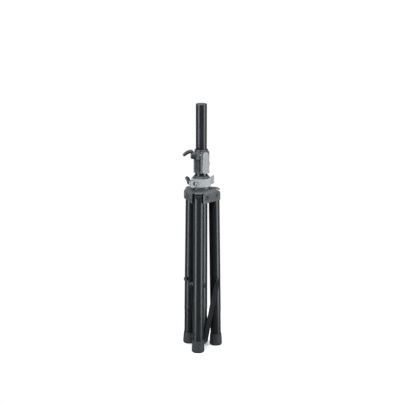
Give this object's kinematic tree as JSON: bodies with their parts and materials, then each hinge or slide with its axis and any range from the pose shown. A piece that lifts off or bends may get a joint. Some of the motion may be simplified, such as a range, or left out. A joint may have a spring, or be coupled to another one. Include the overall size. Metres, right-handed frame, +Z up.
{
  "type": "speaker tripod stand",
  "caption": "Folding tripod stand for a loudspeaker: telescopic pole in a mast with a clamp head, sliding leg collar with ring clamp, round legs on braces, rubber feet.",
  "frame": {"origin": "on the floor, on the axis of the mast", "axes": "+Z up along the mast, -Y along leg 1's direction"},
  "size_m": [0.1326, 0.1254, 0.81],
  "materials": {
    "black_tube": "satin black powder coat",
    "cast_black": "satin dark grey paint on cast aluminium",
    "bare_aluminium": "brushed",
    "plate_silver": "satin silver grey",
    "black_plastic": "moulded",
    "nylon": "smooth nylon",
    "black_rubber": "matte",
    "dark_steel": "black oxide",
    "zinc_steel": "zinc plated"
  },
  "bodies": {
    "mast": {"mast_tube": "black_tube", "clamp_head": "cast_black", "clamp_head_plate": "plate_silver", "head_fixing_bolt": "dark_steel", "pole_bearing_sleeve": "nylon", "mast_hub": "cast_black", "mast_end_cap": "black_plastic", "hub_bolts": "dark_steel", "hub_rivets": "zinc_steel"},
    "pole_guide": {"pole_guide_bush": "nylon"},
    "pole": {"pole_tube": "black_tube", "pole_top_cap": "black_plastic"},
    "height_lever": {"height_knob": "black_plastic", "height_knob_screw": "zinc_steel"},
    "collar": {"leg_collar": "cast_black", "collar_liner": "nylon", "collar_clamp_ring": "bare_aluminium", "collar_clamp_nut": "dark_steel", "leg_pivot_bolts": "cast_black", "leg_pivot_nuts": "cast_black"},
    "collar_wing": {"collar_knob": "black_plastic", "collar_knob_screw": "zinc_steel"},
    "leg_1": {"leg_tube_1": "black_tube", "leg_head_1": "black_tube", "leg_foot_1": "black_rubber", "leg_brace_bolt_1": "dark_steel", "leg_brace_washer_1": "dark_steel"},
    "brace_1": {"brace_strap_1": "black_tube", "brace_top_bolt_1": "dark_steel"},
    "leg_2": {"leg_tube_2": "black_tube", "leg_head_2": "black_tube", "leg_foot_2": "black_rubber", "leg_brace_bolt_2": "dark_steel", "leg_brace_washer_2": "dark_steel"},
    "brace_2": {"brace_strap_2": "black_tube", "brace_top_bolt_2": "dark_steel"},
    "leg_3": {"leg_tube_3": "black_tube", "leg_head_3": "black_tube", "leg_foot_3": "black_rubber", "leg_brace_bolt_3": "dark_steel", "leg_brace_washer_3": "dark_steel"},
    "brace_3": {"brace_strap_3": "black_tube", "brace_top_bolt_3": "dark_steel"}
  },
  "joints": [
    {"name": "pole_height", "type": "slide", "parent": "mast", "child": "pole_guide", "axis": [0, 0, 1], "range_m": [0, 0.42]},
    {"name": "pole_swivel", "type": "hinge", "parent": "pole_guide", "child": "pole", "pos_m": [0, 0, 0.7], "axis": [0, 0, 1], "continuous": true},
    {"name": "height_lever_turn", "type": "hinge", "parent": "mast", "child": "height_lever", "pos_m": [0.00329, -0.03133, 0.65], "axis": [-0.9945, -0.1045, 0], "continuous": true},
    {"name": "collar_slide", "type": "slide", "parent": "mast", "child": "collar", "axis": [0, 0, -1], "range_m": [0, 0.21068]},
    {"name": "collar_wing_turn", "type": "hinge", "parent": "collar", "child": "collar_wing", "pos_m": [-0.02263, -0.03115, 0.56], "axis": [-0.809, 0.5878, 0], "continuous": true},
    {"name": "leg_1_swing", "type": "hinge", "parent": "collar", "child": "leg_1", "pos_m": [0, -0.0435, 0.516], "axis": [-1, 0, 0], "range_deg": [0, 33.02]},
    {"name": "brace_1_swing", "type": "hinge", "parent": "mast", "child": "brace_1", "pos_m": [-0.0227, -0.008, 0.031], "axis": [1, 0, 0], "range_deg": [0, 68.32]},
    {"name": "leg_2_swing", "type": "hinge", "parent": "collar", "child": "leg_2", "pos_m": [0.03767, 0.02175, 0.516], "axis": [0.5, -0.866, 0], "range_deg": [0, 33.02]},
    {"name": "brace_2_swing", "type": "hinge", "parent": "mast", "child": "brace_2", "pos_m": [0.01828, -0.01566, 0.031], "axis": [-0.5, 0.866, 0], "range_deg": [0, 68.32]},
    {"name": "leg_3_swing", "type": "hinge", "parent": "collar", "child": "leg_3", "pos_m": [-0.03767, 0.02175, 0.516], "axis": [0.5, 0.866, 0], "range_deg": [0, 33.02]},
    {"name": "brace_3_swing", "type": "hinge", "parent": "mast", "child": "brace_3", "pos_m": [0.00442, 0.02366, 0.031], "axis": [-0.5, -0.866, 0], "range_deg": [0, 68.32]}
  ],
  "couplings": [
    {"joint": "leg_1_swing", "follows": "collar_slide", "rad_per_m": 2.7347},
    {"joint": "brace_1_swing", "follows": "collar_slide", "rad_per_m": 5.6594},
    {"joint": "leg_2_swing", "follows": "collar_slide", "rad_per_m": 2.7347},
    {"joint": "brace_2_swing", "follows": "collar_slide", "rad_per_m": 5.6594},
    {"joint": "leg_3_swing", "follows": "collar_slide", "rad_per_m": 2.7347},
    {"joint": "brace_3_swing", "follows": "collar_slide", "rad_per_m": 5.6594}
  ]
}
